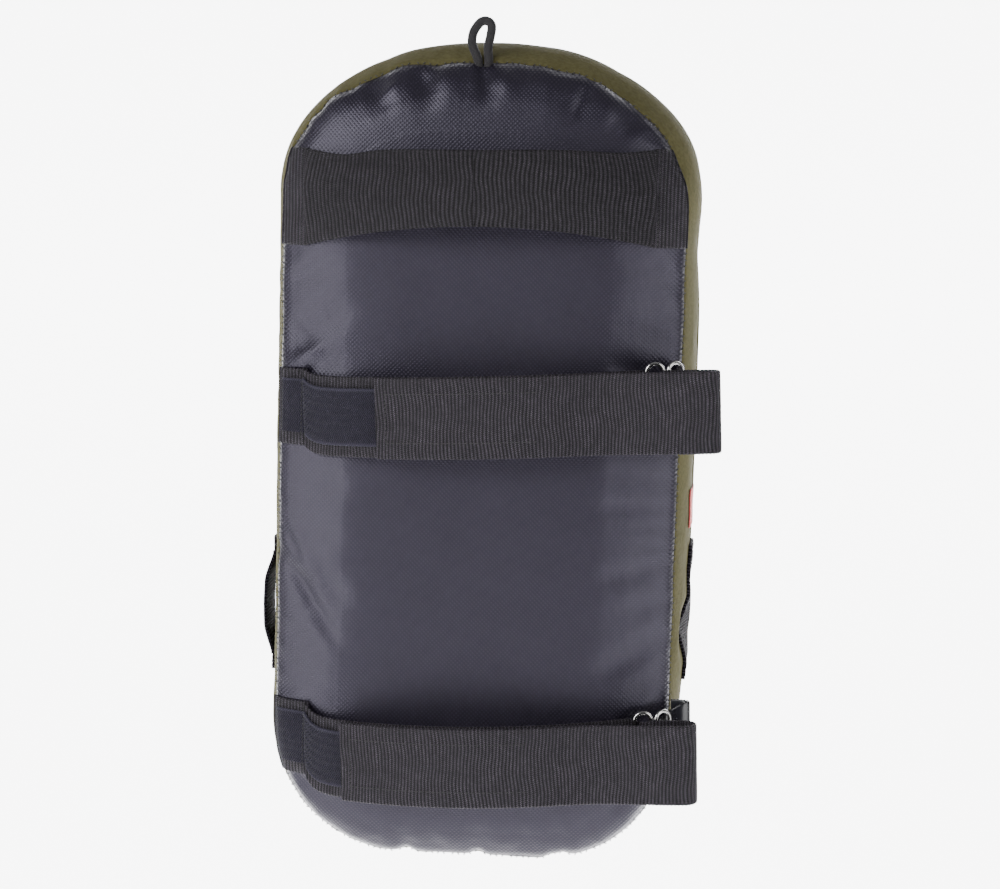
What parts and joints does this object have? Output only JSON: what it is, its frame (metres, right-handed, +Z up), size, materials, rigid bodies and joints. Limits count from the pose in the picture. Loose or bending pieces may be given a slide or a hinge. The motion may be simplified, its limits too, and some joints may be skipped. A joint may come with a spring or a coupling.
{
  "type": "kick shield",
  "caption": "Padded kick shield worn on the forearm: olive wall and strike cover, black arm panel, grip band, hook-and-loop arm straps with ring tabs, side handles and a hanging loop.",
  "frame": {"origin": "inside of the hanging loop's crown, where a hook bears; the back seam lies in the plane y = 0", "axes": "+Z up as the shield hangs, -Y towards the arm side, +Y towards the strike face, +X towards the side where the arm straps turn back"},
  "size_m": [0.2916, 0.1507, 0.5388],
  "materials": {
    "olive_vinyl": "matte synthetic leather",
    "black_vinyl": "satin embossed vinyl",
    "gloss_vinyl": "glossy vinyl",
    "webbing": "ribbed woven webbing",
    "loop_pile": "fuzzy loop tape",
    "hook_pile": "hook tape",
    "thread": "sewing thread",
    "cord": "braided cord",
    "wire": "polished wire",
    "coral": "woven label",
    "firm_foam": "closed-cell foam",
    "soft_foam": "open-cell foam"
  },
  "bodies": {
    "pad": {"front_cover": "olive_vinyl", "side_gusset": "olive_vinyl", "back_cover": "black_vinyl", "strike_foam": "firm_foam", "core_foam": "firm_foam", "comfort_foam": "soft_foam", "back_seam_thread": "thread", "front_seam_piping": "olive_vinyl", "grip_lead_left": "webbing", "grip_lead_right": "webbing", "grip_patch_left": "webbing", "grip_patch_right": "webbing", "grip_thread": "thread", "left_handle_leads": "webbing", "left_handle_patches": "webbing", "right_handle_leads": "webbing", "right_handle_patches": "webbing", "side_label": "coral", "upper_strap_root": "webbing", "upper_strap_fold": "webbing", "upper_loop_tape": "loop_pile", "upper_root_thread": "thread", "upper_ring_tab": "webbing", "lower_strap_root": "webbing", "lower_strap_fold": "webbing", "lower_loop_tape": "loop_pile", "lower_root_thread": "thread", "lower_ring_tab": "gloss_vinyl"},
    "loop": {"hanging_loop": "cord"},
    "grip": {"grip_band": "webbing"},
    "left_carry": {"left_handle": "webbing"},
    "right_carry": {"right_handle": "webbing"},
    "upper_flap": {"upper_strap_flap": "webbing", "upper_hook_tape": "hook_pile", "upper_flap_thread": "thread"},
    "upper_ring_l": {"upper_ring_left": "wire"},
    "upper_ring_r": {"upper_ring_right": "wire"},
    "lower_flap": {"lower_strap_flap": "webbing", "lower_hook_tape": "hook_pile", "lower_flap_thread": "thread"},
    "lower_ring_l": {"lower_ring_left": "wire"},
    "lower_ring_r": {"lower_ring_right": "wire"}
  },
  "joints": [
    {"name": "loop_tilt", "type": "hinge", "parent": "pad", "child": "loop", "pos_m": [-0.0006, 0, -0.0243], "axis": [1, 0, 0], "range_deg": [-25, 60]},
    {"name": "grip_flop", "type": "hinge", "parent": "pad", "child": "grip", "pos_m": [-0.0005, -0.0194, -0.1048], "axis": [0.9997, 0, 0.0227], "range_deg": [-20, 20], "deforming": ["grip_lead_left", "grip_lead_right"]},
    {"name": "left_handle_pull", "type": "slide", "parent": "pad", "child": "left_carry", "axis": [-1, 0, 0], "range_m": [0, 0.01], "deforming": ["left_handle_leads"]},
    {"name": "right_handle_pull", "type": "slide", "parent": "pad", "child": "right_carry", "axis": [1, 0, 0], "range_m": [0, 0.01], "deforming": ["right_handle_leads"]},
    {"name": "upper_flap_peel", "type": "hinge", "parent": "pad", "child": "upper_flap", "pos_m": [0.14428, -0.0335, -0.22935], "axis": [-0.0558, 0, 0.9984], "range_deg": [0, 165], "deforming": ["upper_strap_fold"]},
    {"name": "upper_ring_left_swing", "type": "hinge", "parent": "pad", "child": "upper_ring_l", "pos_m": [0.11833, -0.0216, -0.22929], "axis": [-0.0558, 0, 0.9984], "range_deg": [0, 30]},
    {"name": "upper_ring_right_swing", "type": "hinge", "parent": "pad", "child": "upper_ring_r", "pos_m": [0.12123, -0.0209, -0.22913], "axis": [-0.0558, 0, 0.9984], "range_deg": [-40, 5]},
    {"name": "lower_flap_peel", "type": "hinge", "parent": "pad", "child": "lower_flap", "pos_m": [0.13815, -0.0335, -0.44788], "axis": [-0.0471, 0, 0.9989], "range_deg": [0, 165], "deforming": ["lower_strap_fold"]},
    {"name": "lower_ring_left_swing", "type": "hinge", "parent": "pad", "child": "lower_ring_l", "pos_m": [0.1184, -0.0216, -0.44731], "axis": [-0.0471, 0, 0.9989], "range_deg": [0, 30]},
    {"name": "lower_ring_right_swing", "type": "hinge", "parent": "pad", "child": "lower_ring_r", "pos_m": [0.1213, -0.0209, -0.44717], "axis": [-0.0471, 0, 0.9989], "range_deg": [-40, 5]}
  ]
}
